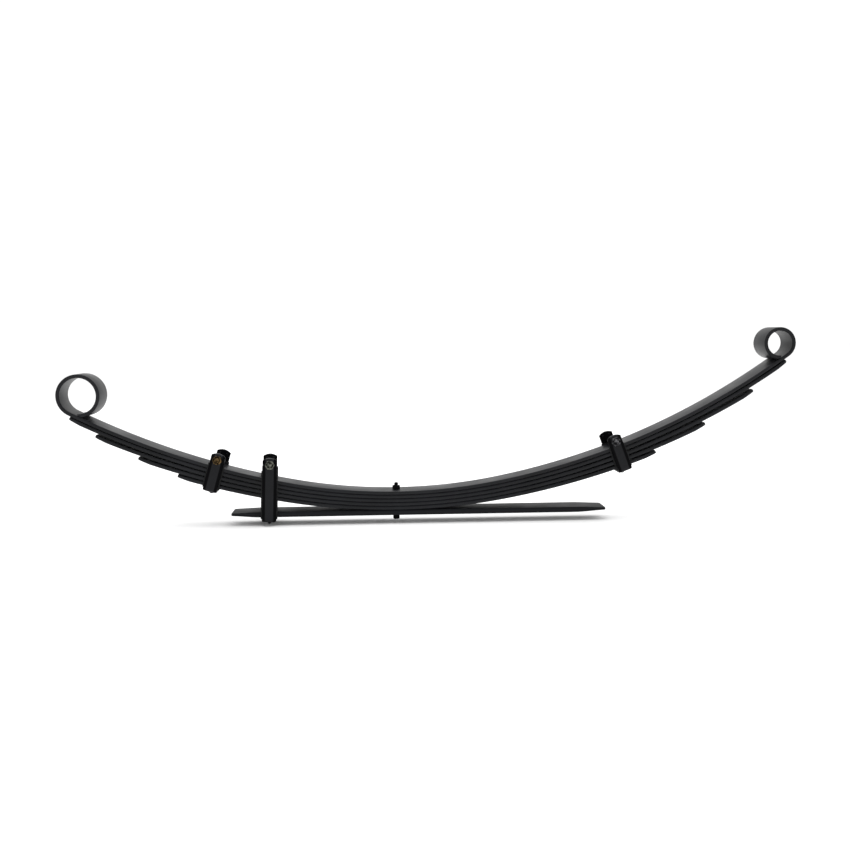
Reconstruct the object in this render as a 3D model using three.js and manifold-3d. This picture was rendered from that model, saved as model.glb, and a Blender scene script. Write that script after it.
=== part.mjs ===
// A truck leaf spring: five curved leaves with an eye rolled on each end of the main
// leaf, a flat helper leaf below them, a centre bolt and three rebound clips.
// Millimetres. +Z is up, +X runs to the rear (small) eye, +Y runs across the leaves.
// The origin is the centre of the flat lower end of the centre bolt's dowel head.

import * as THREE from 'three';
import { mergeVertices } from 'three/addons/utils/BufferGeometryUtils.js';
import Module from 'manifold-3d';

const wasm = await Module();
wasm.setup();

// ---- driving dimensions ----------------------------------------------------------

const CLEARANCE = 0.3; // between pieces that touch on the real spring
const HOLE_CLEARANCE = 0.4; // on the radius, between a bolt or rivet and its hole

const LEAF_WIDTH = 65;
const LEAF_THICKNESS = 7;
const LEAF_EDGE = 0.9; // rolled rounding along the leaves' long edges
const SEAT_CAMBER_RADIUS = 1080; // of the main leaf's middle line, around the centre bolt
const SEAT_CAMBER_REACH = 200; // arc length of that stretch, each way from the bolt
const FRONT_CAMBER_RADIUS = 1572; // from there to the front eye
const REAR_CAMBER_RADIUS = 1446; // from there to the rear eye
const FRONT_EYE_ARC = 649.2; // arc length from the bolt to where each eye's roll begins
const REAR_EYE_ARC = 826.5;
const FRONT_EYE_BORE = 69;
const REAR_EYE_BORE = 48.6;
const SCARF_TIP = 2.4; // thickness left at the end of an eye's roll
const SCARF_GAP = 0.7; // between the roll's end and the leaf it curls down to

const LOWER_LEAVES = [
  { name: 'second_leaf', front: 646, rear: 818 },
  { name: 'third_leaf', front: 588, rear: 733 },
  { name: 'fourth_leaf', front: 499, rear: 621 },
  { name: 'fifth_leaf', front: 419, rear: 512 },
];
const LEAF_TIP_THICKNESS = 5;
const LEAF_TIP_TAPER = 24;
const LEAF_TIP_CORNER = 7; // radius of the tips' corners seen from above
const LEAF_SPREAD = 2.3; // how much wider a gap between lower leaves is at the next arc
const LEAF_SPREAD_ARC = 450; // arc length from the bolt, where the leaves lie close
const LEAF_SPREAD_POWER = 1.6; // how steeply the gaps open on the way there
const FIRST_GAP_SHARE = 0.3; // how much of that the gap below the main leaf opens

const HELPER_FRONT = 321;
const HELPER_REAR = 412;
const HELPER_THICKNESS = 10.3;
const HELPER_TIP_DROP = 2; // how far the top face falls towards each tip
const HELPER_TIP_RISE = 3.5; // how far the underside rises there
const HELPER_TIP_TAPER = 55;
const HELPER_TIP_CORNER = 6;

const DOWEL_DIAMETER = 12.6;
const DOWEL_HEIGHT = 11.5;
const DOWEL_CHAMFER = 1;
const CENTRE_BOLT_DIAMETER = 8;
const CENTRE_NUT_FLATS = 13.5;
const CENTRE_NUT_HEIGHT = 7.8;
const CENTRE_STUB = 6; // how far the bolt stands out of its nut
const CENTRE_STUB_DOME = 2.4; // height of the stub's round end

const CLIP_WIDTH = 27.5;
const CLIP_THICKNESS = 5.5;
const CLIP_BEND = 8; // outer radius of the strap's two bends
const CLIP_EAR_CROWN = 4.5; // how far each ear's top arches up between its corners
const CLIP_EAR_MARGIN = 12.5; // metal above the bolt's axis
const LINER_WIDTH = 32;
const LINER_THICKNESS = 2.2;
const CLIP_BOLT_DIAMETER = 10;
const CLIP_NUT_FLATS = 16;
const CLIP_NUT_HEIGHT = 8;
const CLIP_HEAD_HEIGHT = 6.4;
const CLIP_BOLT_STUB = 2.2;
const SLEEVE_DIAMETER = 16;
const SLEEVE_END_PLAY = 0.5;
const RIVET_DIAMETER = 8;
const RIVET_SINK_DIAMETER = 13;
const RIVET_SINK_DEPTH = 3;
const RIVET_DOME_DIAMETER = 14;
const RIVET_DOME_HEIGHT = 7.8;

const FRONT_CLIP_ARC = -353;
const FRONT_CLIP_BOLT_RISE = 14.5; // bolt axis above the main leaf's top
const FRONT_CLIP_LINER_RISE = 5;
const REAR_CLIP_ARC = 443;
const REAR_CLIP_BOLT_RISE = 11;
const REAR_CLIP_LINER_RISE = 2;
const HELPER_CLIP_X = -247.5;
const HELPER_CLIP_BOLT_RISE = 29;
const HELPER_CLIP_LINER_RISE = 16.5;
const HELPER_CLIP_LEAN = 2; // degrees that the long clip leans to the rear
const HELPER_CLIP_TWIST = 4.5; // degrees that it is turned about its rivet
const HELPER_CLIP_SLACK = 1.2; // room round the leaves that lets it lean and turn

const STATION_PITCH = 36; // length of one straight facet along a leaf
const EYE_FACETS = 32;
const ROUND_FACETS = 16;
const DOME_STEPS = 4; // rings on a rivet's or a stub's round end

// ---- sizes that follow -----------------------------------------------------------

const LEAF_PITCH = LEAF_THICKNESS + CLEARANCE;
const LEAF_COUNT = LOWER_LEAVES.length + 1;
const HELPER_BOTTOM = DOWEL_HEIGHT + CLEARANCE;
const HELPER_TOP = HELPER_BOTTOM + HELPER_THICKNESS;
const PACK_THICKNESS = LEAF_COUNT * LEAF_PITCH - CLEARANCE;
const PACK_TOP = HELPER_TOP + CLEARANCE + PACK_THICKNESS;
const MIDDLE_LINE_HEIGHT = PACK_TOP - LEAF_THICKNESS / 2;
const CENTRE_BOLT_TOP = PACK_TOP + CLEARANCE + CENTRE_NUT_HEIGHT + CENTRE_STUB;

// ---- materials -------------------------------------------------------------------

const steel = (color, roughness, metalness) =>
  new THREE.MeshStandardMaterial({ color, roughness, metalness });
const leafPaint = () => steel(0x2b2c2f, 0.42, 0.25);
const helperPaint = () => steel(0x232427, 0.5, 0.25);
const strapPaint = () => steel(0x1f2023, 0.5, 0.3);
const linerPaint = () => steel(0x121214, 0.7, 0.1);
const boltPaint = () => steel(0x161618, 0.5, 0.3);
const zincPlate = () => steel(0x8d8468, 0.38, 0.9);
const rivetSteel = () => steel(0x2a2a2c, 0.55, 0.6);
const sleeveSteel = () => steel(0x3a3a3d, 0.5, 0.7);

// ---- solids ----------------------------------------------------------------------

function solidOf(geometry) {
  const bare = new THREE.BufferGeometry();
  bare.setAttribute('position', geometry.getAttribute('position').clone());
  if (geometry.index) {
    bare.setIndex(geometry.index.clone());
  }
  const merged = mergeVertices(bare, 1e-4);
  const mesh = new wasm.Mesh({
    numProp: 3,
    vertProperties: new Float32Array(merged.getAttribute('position').array),
    triVerts: new Uint32Array(merged.index.array),
  });
  return new wasm.Manifold(mesh);
}

function geometryOf(solid) {
  const mesh = solid.getMesh();
  const geometry = new THREE.BufferGeometry();
  geometry.setAttribute('position', new THREE.BufferAttribute(mesh.vertProperties, 3));
  geometry.setIndex(new THREE.BufferAttribute(mesh.triVerts, 1));
  geometry.computeVertexNormals();
  return geometry;
}

const radians = (degrees) => (degrees * Math.PI) / 180;

const subtractAll = (solid, cutters) =>
  cutters.reduce((left, cutter) => left.subtract(cutter), solid);

// A solid of the outline (given in X and Z) that runs across Y, with rounded rims.
function acrossY(outline, width, edge) {
  const geometry = new THREE.ExtrudeGeometry(outline, {
    depth: width - 2 * edge,
    bevelEnabled: edge > 0,
    bevelThickness: edge,
    bevelSize: edge,
    bevelOffset: -edge,
    bevelSegments: 1,
    curveSegments: 6,
  });
  geometry.translate(0, 0, edge - width / 2);
  geometry.rotateX(Math.PI / 2);
  return geometry;
}

// A solid of the outline (given in X and Y) that runs up from one height to another.
function upZ(outline, bottom, top) {
  const geometry = new THREE.ExtrudeGeometry(outline, {
    depth: top - bottom,
    bevelEnabled: false,
    curveSegments: 5,
  });
  geometry.translate(0, 0, bottom);
  return geometry;
}

// A turned solid about +Z. The profile is a list of [radius, height].
function turned(profile, facets = ROUND_FACETS) {
  const points = profile.map(([radius, height]) => new THREE.Vector2(radius, height));
  const geometry = new THREE.LatheGeometry(points, facets);
  geometry.rotateX(Math.PI / 2);
  return geometry;
}

const pin = (diameter, bottom, top, facets) =>
  turned([[0, bottom], [diameter / 2, bottom], [diameter / 2, top], [0, top]], facets);

// A hexagon nut or head standing on bottom, with its corners turned off at both ends.
function hexagon(flats, bottom, top, bore) {
  const corner = flats / Math.sqrt(3);
  const chamfer = (corner - flats / 2) * 0.9;
  const outline = new THREE.Shape();
  for (let i = 0; i < 6; i += 1) {
    const angle = (i * Math.PI) / 3;
    const method = i === 0 ? 'moveTo' : 'lineTo';
    outline[method](corner * Math.cos(angle), corner * Math.sin(angle));
  }
  const turnedOff = turned([
    [0, bottom],
    [flats / 2, bottom],
    [corner + 0.01, bottom + chamfer * 0.58],
    [corner + 0.01, top - chamfer * 0.58],
    [flats / 2, top],
    [0, top],
  ], 24);
  const body = solidOf(upZ(outline, bottom, top)).intersect(solidOf(turnedOff));
  if (!bore) {
    return body;
  }
  return body.subtract(solidOf(pin(bore, bottom - 1, top + 1)));
}

// ---- the leaves' curve -----------------------------------------------------------

// The place on the main leaf's middle line at a signed arc length from the centre bolt:
// minus to the front, plus to the rear. slope is the angle of +X along the leaf.
function onCurve(arc) {
  const side = Math.sign(arc) || 1;
  const outerRadius = side > 0 ? REAR_CAMBER_RADIUS : FRONT_CAMBER_RADIUS;
  const inner = Math.min(Math.abs(arc), SEAT_CAMBER_REACH) / SEAT_CAMBER_RADIUS;
  const outer = Math.max(Math.abs(arc) - SEAT_CAMBER_REACH, 0) / outerRadius;
  const angle = inner + outer;
  const run = SEAT_CAMBER_RADIUS * Math.sin(inner)
    + outerRadius * (Math.sin(angle) - Math.sin(inner));
  const rise = SEAT_CAMBER_RADIUS * (1 - Math.cos(inner))
    + outerRadius * (Math.cos(inner) - Math.cos(angle));
  return { x: side * run, z: MIDDLE_LINE_HEIGHT + rise, slope: side * angle };
}

// The point at that arc length, a depth below the main leaf's middle line.
function belowCurve(arc, depth) {
  const at = onCurve(arc);
  return new THREE.Vector2(
    at.x + depth * Math.sin(at.slope),
    at.z - depth * Math.cos(at.slope),
  );
}

// How far a leaf hangs below its place in a tight pack. The main leaf is number 0.
function spreadAt(number, arc) {
  if (number === 0) {
    return 0;
  }
  const gaps = number - 1 + FIRST_GAP_SHARE;
  return gaps * LEAF_SPREAD * (Math.abs(arc) / LEAF_SPREAD_ARC) ** LEAF_SPREAD_POWER;
}

// Arc lengths from one end to the other, with a station at every pitch between them.
// The stations stand half a pitch off the bolt, so that the facet it clamps lies level.
function stations(front, rear) {
  const list = [front];
  const first = Math.ceil(front / STATION_PITCH - 0.5);
  for (let i = first; (i + 0.5) * STATION_PITCH < rear; i += 1) {
    const arc = (i + 0.5) * STATION_PITCH;
    if (arc - list[list.length - 1] > STATION_PITCH / 4 && rear - arc > STATION_PITCH / 4) {
      list.push(arc);
    }
  }
  list.push(rear);
  return list;
}

// The height of the main leaf's top face above a place on X.
function topHeightAt(x) {
  let low = -FRONT_EYE_ARC;
  let high = REAR_EYE_ARC;
  for (let i = 0; i < 40; i += 1) {
    const middle = (low + high) / 2;
    if (belowCurve(middle, -LEAF_THICKNESS / 2).x < x) {
      low = middle;
    } else {
      high = middle;
    }
  }
  return belowCurve(low, -LEAF_THICKNESS / 2).y;
}

// The outline of one eye, from the leaf's top face round the bore, back over the scarf
// cut at the roll's end and round the outside to the leaf's underside.
function eyeOutline(arc, bore) {
  const side = Math.sign(arc);
  const at = onCurve(arc);
  const along = new THREE.Vector2(side * Math.cos(at.slope), side * Math.sin(at.slope));
  const up = new THREE.Vector2(-Math.sin(at.slope), Math.cos(at.slope));
  const inside = bore / 2;
  const outside = inside + LEAF_THICKNESS;
  const centre = new THREE.Vector2(at.x, at.z)
    .addScaledVector(up, inside + LEAF_THICKNESS / 2);
  const point = (outward, downward) => centre.clone()
    .addScaledVector(along, outward)
    .addScaledVector(up, -downward);
  const round = (radius, angle) => point(radius * Math.sin(angle), radius * Math.cos(angle));
  const tip = Math.acos(1 - (SCARF_GAP + SCARF_TIP) / inside);
  const meet = Math.acos((inside - SCARF_GAP) / outside);
  const points = [];
  for (let i = 0; i <= EYE_FACETS; i += 1) {
    points.push(round(inside, ((2 * Math.PI - tip) * i) / EYE_FACETS));
  }
  points.push(point(-inside * Math.sin(tip), inside - SCARF_GAP));
  for (let i = EYE_FACETS; i >= 0; i -= 1) {
    points.push(round(outside, ((2 * Math.PI - meet) * i) / EYE_FACETS));
  }
  return points;
}

// A vertical hole through the whole pack for the centre bolt.
const centreHole = () =>
  solidOf(pin(CENTRE_BOLT_DIAMETER + 2 * HOLE_CLEARANCE, HELPER_BOTTOM - 5, PACK_TOP + 5));

function mainLeaf() {
  const arcs = stations(-FRONT_EYE_ARC, REAR_EYE_ARC).slice(1, -1);
  const half = LEAF_THICKNESS / 2;
  const outline = new THREE.Shape([
    ...arcs.map((arc) => belowCurve(arc, -half)),
    ...eyeOutline(REAR_EYE_ARC, REAR_EYE_BORE),
    ...arcs.map((arc) => belowCurve(arc, half)).reverse(),
    ...eyeOutline(-FRONT_EYE_ARC, FRONT_EYE_BORE).reverse(),
  ]);
  const body = solidOf(acrossY(outline, LEAF_WIDTH, LEAF_EDGE));
  return body.subtract(centreHole());
}

// A plan outline with round corners, for the ends of a leaf between two places on X.
function planOutline(front, rear, corner) {
  const half = LEAF_WIDTH / 2 + 1;
  const outline = new THREE.Shape();
  outline.moveTo(front + corner, -half);
  outline.lineTo(rear - corner, -half);
  outline.quadraticCurveTo(rear, -half, rear, -half + corner);
  outline.lineTo(rear, half - corner);
  outline.quadraticCurveTo(rear, half, rear - corner, half);
  outline.lineTo(front + corner, half);
  outline.quadraticCurveTo(front, half, front, half - corner);
  outline.lineTo(front, -half + corner);
  outline.quadraticCurveTo(front, -half, front + corner, -half);
  return outline;
}

// A leaf under the main one: number 1 lies right below it. Its tips thin from below.
function lowerLeaf({ front, rear }, number, cutters) {
  const top = number * LEAF_PITCH - LEAF_THICKNESS / 2;
  const bottom = top + LEAF_THICKNESS;
  const upper = stations(-front, rear);
  const lower = stations(LEAF_TIP_TAPER - front, rear - LEAF_TIP_TAPER);
  const at = (arc, depth) => belowCurve(arc, depth + spreadAt(number, arc));
  const ends = [at(-front, top + LEAF_TIP_THICKNESS), at(rear, top + LEAF_TIP_THICKNESS)];
  const outline = new THREE.Shape([
    ...upper.map((arc) => at(arc, top)),
    ends[1],
    ...lower.map((arc) => at(arc, bottom)).reverse(),
    ends[0],
  ]);
  const highest = Math.max(ends[0].y, ends[1].y) + 3 * LEAF_THICKNESS;
  const plan = planOutline(
    Math.min(ends[0].x, at(-front, top).x) - CLEARANCE,
    Math.max(ends[1].x, at(rear, top).x) + CLEARANCE,
    LEAF_TIP_CORNER,
  );
  const body = solidOf(acrossY(outline, LEAF_WIDTH, LEAF_EDGE))
    .intersect(solidOf(upZ(plan, -LEAF_THICKNESS, highest)));
  return subtractAll(body, [centreHole(), ...cutters]);
}

function helperLeaf(cutters) {
  const tipTop = HELPER_TOP - HELPER_TIP_DROP;
  const tipBottom = HELPER_BOTTOM + HELPER_TIP_RISE;
  const outline = new THREE.Shape();
  outline.moveTo(-HELPER_FRONT, tipTop);
  outline.lineTo(-HELPER_FRONT, tipBottom);
  outline.lineTo(HELPER_TIP_TAPER - HELPER_FRONT, HELPER_BOTTOM);
  outline.lineTo(HELPER_REAR - HELPER_TIP_TAPER, HELPER_BOTTOM);
  outline.lineTo(HELPER_REAR, tipBottom);
  outline.lineTo(HELPER_REAR, tipTop);
  outline.lineTo(HELPER_REAR - HELPER_TIP_TAPER, HELPER_TOP);
  outline.lineTo(HELPER_TIP_TAPER - HELPER_FRONT, HELPER_TOP);
  outline.closePath();
  const plan = planOutline(-HELPER_FRONT, HELPER_REAR, HELPER_TIP_CORNER);
  const body = solidOf(acrossY(outline, LEAF_WIDTH, LEAF_EDGE))
    .intersect(solidOf(upZ(plan, 0, HELPER_TOP + 5)));
  return subtractAll(body, [centreHole(), ...cutters]);
}

// ---- centre bolt -----------------------------------------------------------------

function centreBolt() {
  const dowel = DOWEL_DIAMETER / 2;
  const shank = CENTRE_BOLT_DIAMETER / 2;
  const profile = [
    [0, 0],
    [dowel - DOWEL_CHAMFER, 0],
    [dowel, DOWEL_CHAMFER],
    [dowel, DOWEL_HEIGHT],
    [shank, DOWEL_HEIGHT],
  ];
  for (let i = 0; i < DOME_STEPS; i += 1) {
    const angle = (i * Math.PI) / 2 / DOME_STEPS;
    const fall = CENTRE_STUB_DOME * (1 - Math.sin(angle));
    profile.push([shank * Math.cos(angle), CENTRE_BOLT_TOP - fall]);
  }
  profile.push([0, CENTRE_BOLT_TOP]);
  return turned(profile);
}

function centreNut() {
  const bottom = PACK_TOP + CLEARANCE;
  const bore = CENTRE_BOLT_DIAMETER + 2 * CLEARANCE;
  return hexagon(CENTRE_NUT_FLATS, bottom, bottom + CENTRE_NUT_HEIGHT, bore);
}

// ---- rebound clips ---------------------------------------------------------------

// A clip's heights are measured in its own frame, whose origin is on the main leaf's
// top face and whose +Z stands square to the leaf that the clip is riveted to.
const packFloor = (arc) =>
  -PACK_THICKNESS - spreadAt(LEAF_COUNT - 1, Math.abs(arc) + LINER_WIDTH / 2);
const FRONT_CLIP = {
  floor: packFloor(FRONT_CLIP_ARC), // underside of the lowest leaf inside the clip
  rivetedLeaf: LEAF_THICKNESS,
  boltRise: FRONT_CLIP_BOLT_RISE,
  linerRise: FRONT_CLIP_LINER_RISE,
  slack: 0,
};
const REAR_CLIP = {
  ...FRONT_CLIP,
  floor: packFloor(REAR_CLIP_ARC),
  boltRise: REAR_CLIP_BOLT_RISE,
  linerRise: REAR_CLIP_LINER_RISE,
};
const HELPER_CLIP_TOP = topHeightAt(HELPER_CLIP_X);
const LONG_CLIP = {
  floor: HELPER_BOTTOM - HELPER_CLIP_TOP,
  rivetedLeaf: HELPER_THICKNESS,
  boltRise: HELPER_CLIP_BOLT_RISE,
  linerRise: HELPER_CLIP_LINER_RISE,
  slack: HELPER_CLIP_SLACK,
};

const linerInside = (clip) => LEAF_WIDTH / 2 + CLEARANCE + clip.slack;
const clipInside = (clip) => linerInside(clip) + LINER_THICKNESS + CLEARANCE;
const clipOutside = (clip) => clipInside(clip) + CLIP_THICKNESS;
const clipSeat = (clip) => clipOutside(clip) + CLEARANCE; // a nut's or head's face
const linerFloor = (clip) => clip.floor - CLEARANCE - clip.slack / 2;
const strapFloor = (clip) => linerFloor(clip) - LINER_THICKNESS - CLEARANCE;
const strapBottom = (clip) => strapFloor(clip) - CLIP_THICKNESS;

// The U-shaped section of a strap or liner, in Y and Z.
function channel(inside, thickness, floor, rise, bend) {
  const outside = inside + thickness;
  const bottom = floor - thickness;
  const inner = Math.max(bend - thickness, 0.4);
  const outline = new THREE.Shape();
  outline.moveTo(-outside, rise);
  outline.lineTo(-outside, bottom + bend);
  outline.quadraticCurveTo(-outside, bottom, -outside + bend, bottom);
  outline.lineTo(outside - bend, bottom);
  outline.quadraticCurveTo(outside, bottom, outside, bottom + bend);
  outline.lineTo(outside, rise);
  outline.lineTo(inside, rise);
  outline.lineTo(inside, floor + inner);
  outline.quadraticCurveTo(inside, floor, inside - inner, floor);
  outline.lineTo(-inside + inner, floor);
  outline.quadraticCurveTo(-inside, floor, -inside, floor + inner);
  outline.lineTo(-inside, rise);
  outline.closePath();
  return outline;
}

function alongX(outline, length, edge) {
  const geometry = acrossY(outline, length, edge);
  geometry.rotateZ(-Math.PI / 2);
  return geometry;
}

const clipBoltHole = (clip) => {
  const reach = clipOutside(clip) + 5;
  const hole = pin(CLIP_BOLT_DIAMETER + 2 * HOLE_CLEARANCE, -reach, reach);
  hole.rotateX(Math.PI / 2);
  hole.translate(0, 0, clip.boltRise);
  return solidOf(hole);
};

// The hole that a clip's rivet needs in its strap, its liner and its leaf.
function rivetHole(clip) {
  const top = clip.floor + clip.rivetedLeaf;
  const radius = RIVET_DIAMETER / 2 + HOLE_CLEARANCE;
  const sink = RIVET_SINK_DIAMETER / 2 + HOLE_CLEARANCE;
  return turned([
    [0, strapBottom(clip) - 1],
    [radius, strapBottom(clip) - 1],
    [radius, top - RIVET_SINK_DEPTH - HOLE_CLEARANCE],
    [sink, top - HOLE_CLEARANCE / 2],
    [sink, top + RIVET_SINK_DEPTH],
    [0, top + RIVET_SINK_DEPTH],
  ]);
}

function clipStrap(clip) {
  const rise = clip.boltRise + CLIP_EAR_MARGIN;
  const bottom = strapBottom(clip) - 1;
  const half = CLIP_WIDTH / 2;
  const side = new THREE.Shape();
  side.moveTo(-half, bottom);
  side.lineTo(half, bottom);
  side.lineTo(half, rise - CLIP_EAR_CROWN);
  side.quadraticCurveTo(0, rise + CLIP_EAR_CROWN, -half, rise - CLIP_EAR_CROWN);
  side.closePath();
  const section = channel(
    clipInside(clip), CLIP_THICKNESS, strapFloor(clip), rise, CLIP_BEND,
  );
  const body = solidOf(alongX(section, CLIP_WIDTH, 0))
    .intersect(solidOf(acrossY(side, 2 * clipOutside(clip) + 2, 0)));
  return subtractAll(body, [clipBoltHole(clip), solidOf(rivetHole(clip))]);
}

function clipLiner(clip) {
  const bend = LINER_THICKNESS + 1;
  const section = channel(
    linerInside(clip), LINER_THICKNESS, linerFloor(clip), clip.linerRise, bend,
  );
  const body = solidOf(alongX(section, LINER_WIDTH, 0));
  return body.subtract(solidOf(rivetHole(clip)));
}

// The rivet: a domed tail under the strap and a head sunk flush into its leaf.
function clipRivet(clip) {
  const seat = strapBottom(clip) - CLEARANCE;
  const dome = RIVET_DOME_DIAMETER / 2;
  const shank = RIVET_DIAMETER / 2;
  const top = clip.floor + clip.rivetedLeaf - CLEARANCE;
  const profile = [[0, seat - RIVET_DOME_HEIGHT]];
  for (let i = 1; i <= DOME_STEPS; i += 1) {
    const angle = (i * Math.PI) / 2 / DOME_STEPS;
    profile.push([dome * Math.sin(angle), seat - RIVET_DOME_HEIGHT * Math.cos(angle)]);
  }
  profile.push(
    [shank, seat],
    [shank, top - RIVET_SINK_DEPTH],
    [RIVET_SINK_DIAMETER / 2, top - CLEARANCE],
    [RIVET_SINK_DIAMETER / 2, top],
    [0, top],
  );
  return turned(profile);
}

// The pieces that lie along a clip's bolt are made upright and laid over: their +Z
// becomes -Y, so heights below count from the far ear to the near one.
function laidOnBolt(geometry, clip) {
  geometry.rotateX(Math.PI / 2);
  geometry.translate(0, 0, clip.boltRise);
  return geometry;
}

function clipBolt(clip) {
  const seat = clipSeat(clip);
  const head = hexagon(CLIP_NUT_FLATS, -seat - CLIP_HEAD_HEIGHT, -seat);
  const end = seat + CLIP_NUT_HEIGHT + CLIP_BOLT_STUB;
  const shank = CLIP_BOLT_DIAMETER / 2;
  const stem = turned([
    [0, -seat - 1],
    [shank, -seat - 1],
    [shank, end - 1],
    [shank - 1, end],
    [0, end],
  ]);
  return laidOnBolt(geometryOf(head.add(solidOf(stem))), clip);
}

function clipNut(clip) {
  const bore = CLIP_BOLT_DIAMETER + 2 * CLEARANCE;
  const seat = clipSeat(clip);
  const nut = hexagon(CLIP_NUT_FLATS, seat, seat + CLIP_NUT_HEIGHT, bore);
  return laidOnBolt(geometryOf(nut), clip);
}

function clipSleeve(clip) {
  const end = clipInside(clip) - SLEEVE_END_PLAY;
  const outer = SLEEVE_DIAMETER / 2;
  const inner = CLIP_BOLT_DIAMETER / 2 + HOLE_CLEARANCE;
  const tube = turned([
    [inner, -end],
    [outer - 0.6, -end],
    [outer, -end + 0.6],
    [outer, end - 0.6],
    [outer - 0.6, end],
    [inner, end],
    [inner, -end],
  ]);
  return laidOnBolt(tube, clip);
}

// ---- assembly --------------------------------------------------------------------

const spring = new THREE.Group();

function addPiece(group, name, shape, material) {
  const geometry = shape.isBufferGeometry ? shape : geometryOf(shape);
  const mesh = new THREE.Mesh(geometry, material);
  mesh.name = name;
  group.add(mesh);
}

// The frame of a clip that stands square on the pack at an arc length from the bolt.
function packFrame(arc) {
  const top = belowCurve(arc, -LEAF_THICKNESS / 2);
  const frame = new THREE.Group();
  frame.position.set(top.x, 0, top.y);
  frame.rotation.y = -onCurve(arc).slope;
  frame.updateMatrix();
  return frame;
}

function helperClipFrame() {
  const frame = new THREE.Group();
  frame.position.set(HELPER_CLIP_X, 0, HELPER_CLIP_TOP);
  frame.rotation.set(0, radians(HELPER_CLIP_LEAN), radians(HELPER_CLIP_TWIST));
  frame.updateMatrix();
  return frame;
}

const CLIPS = [
  { name: 'front_clip', form: FRONT_CLIP, frame: packFrame(FRONT_CLIP_ARC) },
  { name: 'helper_clip', form: LONG_CLIP, frame: helperClipFrame() },
  { name: 'rear_clip', form: REAR_CLIP, frame: packFrame(REAR_CLIP_ARC) },
];

const placedRivetHole = ({ form, frame }) =>
  solidOf(rivetHole(form).applyMatrix4(frame.matrix));
const packRivetHoles = CLIPS.filter(({ form }) => form !== LONG_CLIP).map(placedRivetHole);
const helperRivetHoles = CLIPS.filter(({ form }) => form === LONG_CLIP).map(placedRivetHole);

addPiece(spring, 'main_leaf', mainLeaf(), leafPaint());
LOWER_LEAVES.forEach((leaf, index) => {
  const number = index + 1;
  const cutters = number === LOWER_LEAVES.length ? packRivetHoles : [];
  addPiece(spring, leaf.name, lowerLeaf(leaf, number, cutters), leafPaint());
});
addPiece(spring, 'helper_leaf', helperLeaf(helperRivetHoles), helperPaint());
addPiece(spring, 'centre_bolt', centreBolt(), boltPaint());
addPiece(spring, 'centre_nut', centreNut(), boltPaint());

CLIPS.forEach(({ name, form, frame }) => {
  addPiece(frame, `${name}_strap`, clipStrap(form), strapPaint());
  addPiece(frame, `${name}_liner`, clipLiner(form), linerPaint());
  addPiece(frame, `${name}_rivet`, clipRivet(form), rivetSteel());
  addPiece(frame, `${name}_bolt`, clipBolt(form), zincPlate());
  addPiece(frame, `${name}_nut`, clipNut(form), zincPlate());
  addPiece(frame, `${name}_sleeve`, clipSleeve(form), sleeveSteel());
  spring.add(frame);
});

export default spring;
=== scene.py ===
"""The looks of a truck leaf spring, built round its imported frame.

Five cambered leaves with an eye rolled on each end of the main leaf, a flat helper leaf,
a centre bolt with its nut, and three rebound clips with their liners, rivets, bolts,
nuts and spacer sleeves. Sizes in the classes are millimetres; meshes are in metres.
"""

import logging
import math
from dataclasses import dataclass, field
from enum import Enum
from typing import Any, Callable

import bmesh
import bpy
from mathutils import Matrix, Vector


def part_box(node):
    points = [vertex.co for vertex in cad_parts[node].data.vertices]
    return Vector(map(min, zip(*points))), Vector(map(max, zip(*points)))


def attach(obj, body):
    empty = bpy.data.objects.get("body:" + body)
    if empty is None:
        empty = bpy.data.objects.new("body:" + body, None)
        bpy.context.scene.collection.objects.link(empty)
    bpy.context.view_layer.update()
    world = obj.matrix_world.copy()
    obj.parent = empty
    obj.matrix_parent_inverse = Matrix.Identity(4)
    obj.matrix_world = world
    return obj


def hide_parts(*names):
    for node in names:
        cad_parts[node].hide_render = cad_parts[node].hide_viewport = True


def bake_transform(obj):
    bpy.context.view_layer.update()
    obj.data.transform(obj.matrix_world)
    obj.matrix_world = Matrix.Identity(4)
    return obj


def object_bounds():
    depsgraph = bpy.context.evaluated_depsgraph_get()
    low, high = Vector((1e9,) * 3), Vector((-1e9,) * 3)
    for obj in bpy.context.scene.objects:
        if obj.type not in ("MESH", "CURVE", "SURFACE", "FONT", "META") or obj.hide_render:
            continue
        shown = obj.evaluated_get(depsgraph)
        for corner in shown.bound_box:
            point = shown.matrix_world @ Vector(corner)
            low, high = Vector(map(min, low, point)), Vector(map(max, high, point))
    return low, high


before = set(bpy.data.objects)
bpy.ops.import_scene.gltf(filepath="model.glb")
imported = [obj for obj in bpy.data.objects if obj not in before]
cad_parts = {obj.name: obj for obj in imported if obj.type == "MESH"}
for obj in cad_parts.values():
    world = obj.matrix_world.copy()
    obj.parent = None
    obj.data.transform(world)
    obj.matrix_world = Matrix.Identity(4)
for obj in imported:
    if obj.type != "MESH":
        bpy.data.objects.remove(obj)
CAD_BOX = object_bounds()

LOG = logging.getLogger("leaf_spring")
MM = 0.001
CLEARANCE = 0.3
HOLE_CLEARANCE = 0.4
CENTRE_BOLT_DIAMETER = 8.0
RIVET_DIAMETER = 8.0
SUNK_HEAD_DIAMETER = 13.0
HEXAGON_FACETS = 72
ACROSS = "across"  # a strap's attribute: the distance in mm from its middle line, which places its painted shade
QUARTER_TURN = math.pi / 2
SHARP_ANGLE = math.radians(34)

Point = tuple[float, float, float]
Profile = list[tuple[float, float]]


class Side(Enum):
    """The two ends of the spring; the value is the sign of X there."""

    FRONT = -1
    REAR = 1


# ---- nodes -----------------------------------------------------------------------


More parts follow.
